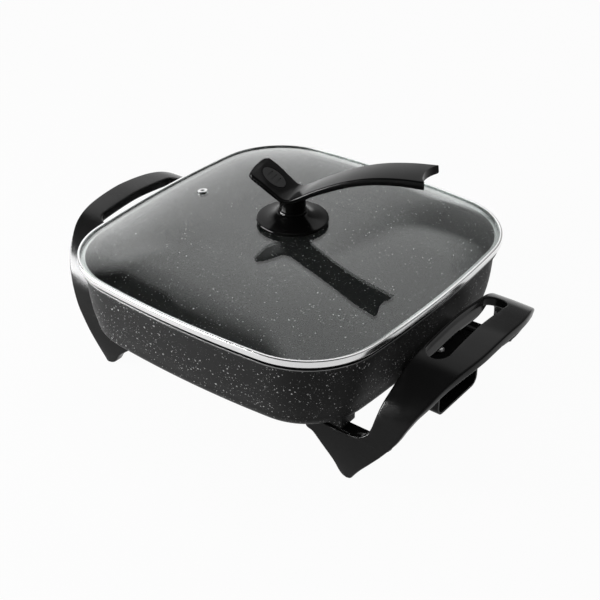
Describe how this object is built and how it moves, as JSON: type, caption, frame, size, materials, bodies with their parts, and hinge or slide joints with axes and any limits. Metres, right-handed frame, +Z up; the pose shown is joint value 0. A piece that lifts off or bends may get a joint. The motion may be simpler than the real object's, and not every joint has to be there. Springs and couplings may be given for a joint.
{
  "type": "electric skillet",
  "caption": "Square electric frying pan with rounded corners on two leg-and-handle frames, with a glass lid that lifts off by a V-shaped grip.",
  "frame": {"origin": "on the ground, at the centre of the bounding box's bottom face, under the centre of the pan", "axes": "+X from the centre towards the handle with the probe socket, +Y across the pan, +Z up"},
  "size_m": [0.4142, 0.308, 0.2145],
  "materials": {
    "pan": "dark charcoal non-stick coating with fine pale speckles",
    "sheath": "dark oxidised sheath",
    "insulator": "off-white unglazed",
    "steel": "satin",
    "handle": "black semi-gloss phenolic",
    "glass": "clear tempered, faintly grey",
    "rim": "bright polished band",
    "vent": "bright",
    "seal": "matte silicone",
    "knob": "black semi-gloss phenolic",
    "pad": "soft-touch black"
  },
  "bodies": {
    "base": {"pan_body": "pan", "heating_element": "sheath", "terminal_insulator_front": "insulator", "terminal_insulator_back": "insulator", "terminal_pin_front": "steel", "terminal_pin_back": "steel", "probe_sleeve": "steel", "socket_housing": "handle", "socket_screw": "steel", "right_handle": "handle", "left_handle": "handle", "right_handle_screw_front": "steel", "right_handle_screw_back": "steel", "left_handle_screw_front": "steel", "left_handle_screw_back": "steel"},
    "lid": {"lid_glass": "glass", "lid_rim": "rim", "vent_eyelet": "vent", "knob_seal": "seal", "knob_base": "knob", "knob_collar": "knob", "knob_washer": "steel", "knob_screw": "steel", "lid_grip": "knob", "thumb_pad": "pad"}
  },
  "joints": [
    {"name": "lid_lift", "type": "slide", "parent": "base", "child": "lid", "axis": [0, 0, 1], "range_m": [0, 0.12]}
  ]
}
